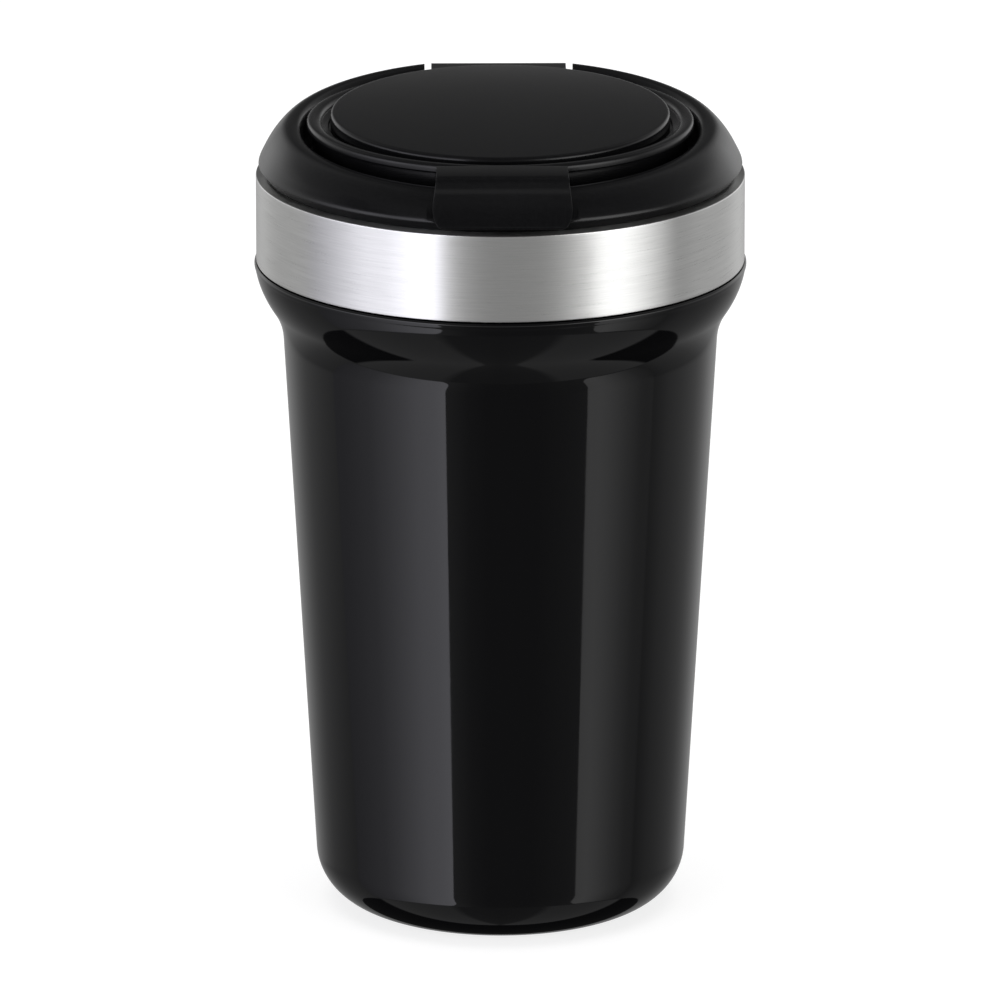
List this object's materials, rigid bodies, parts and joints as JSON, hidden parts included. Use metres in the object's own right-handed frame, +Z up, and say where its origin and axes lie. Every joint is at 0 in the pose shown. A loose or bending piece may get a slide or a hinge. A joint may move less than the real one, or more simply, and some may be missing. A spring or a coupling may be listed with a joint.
{
  "type": "insulated tumbler with lid",
  "caption": "Tapered double-wall travel tumbler with a gloss shell, a brushed steel collar and a push-in lid whose round flip cap opens by a front thumb tab.",
  "frame": {"origin": "centre of the face the tumbler stands on", "axes": "+Z up through the lid, -Y towards the thumb tab, +Y towards the cap's hinge"},
  "size_m": [0.0908, 0.0908, 0.1525],
  "materials": {
    "gloss_shell": "high-gloss black",
    "brushed_collar": "fine brushing round the collar",
    "liner_steel": "satin stainless",
    "matte_lid": "fine matte texture",
    "inner_plastic": "satin black",
    "silicone": "soft matte silicone",
    "foam": "closed-cell foam"
  },
  "bodies": {
    "mug": {"outer_shell": "gloss_shell", "steel_collar": "brushed_collar", "rim_ring": "inner_plastic", "rim_gasket": "silicone", "inner_liner": "liner_steel", "foam_sleeve": "foam", "foam_disc": "foam", "base_cap": "inner_plastic", "base_gasket": "silicone", "anti_slip_pad": "silicone"},
    "lid": {"lid_ring": "matte_lid", "lid_tray": "inner_plastic", "lid_plug": "inner_plastic", "lid_seal": "silicone", "hinge_pin": "liner_steel"},
    "cap": {"flip_cap": "matte_lid", "cap_dome": "matte_lid", "cap_underplate": "inner_plastic", "drink_stopper": "silicone", "vent_stopper": "silicone"}
  },
  "joints": [
    {"name": "lid_lift", "type": "slide", "parent": "mug", "child": "lid", "axis": [0, 0, 1], "range_m": [0, 0.04]},
    {"name": "cap_flip", "type": "hinge", "parent": "lid", "child": "cap", "pos_m": [0, 0.0372, 0.147], "axis": [-1, 0, 0], "range_deg": [0, 110]}
  ]
}
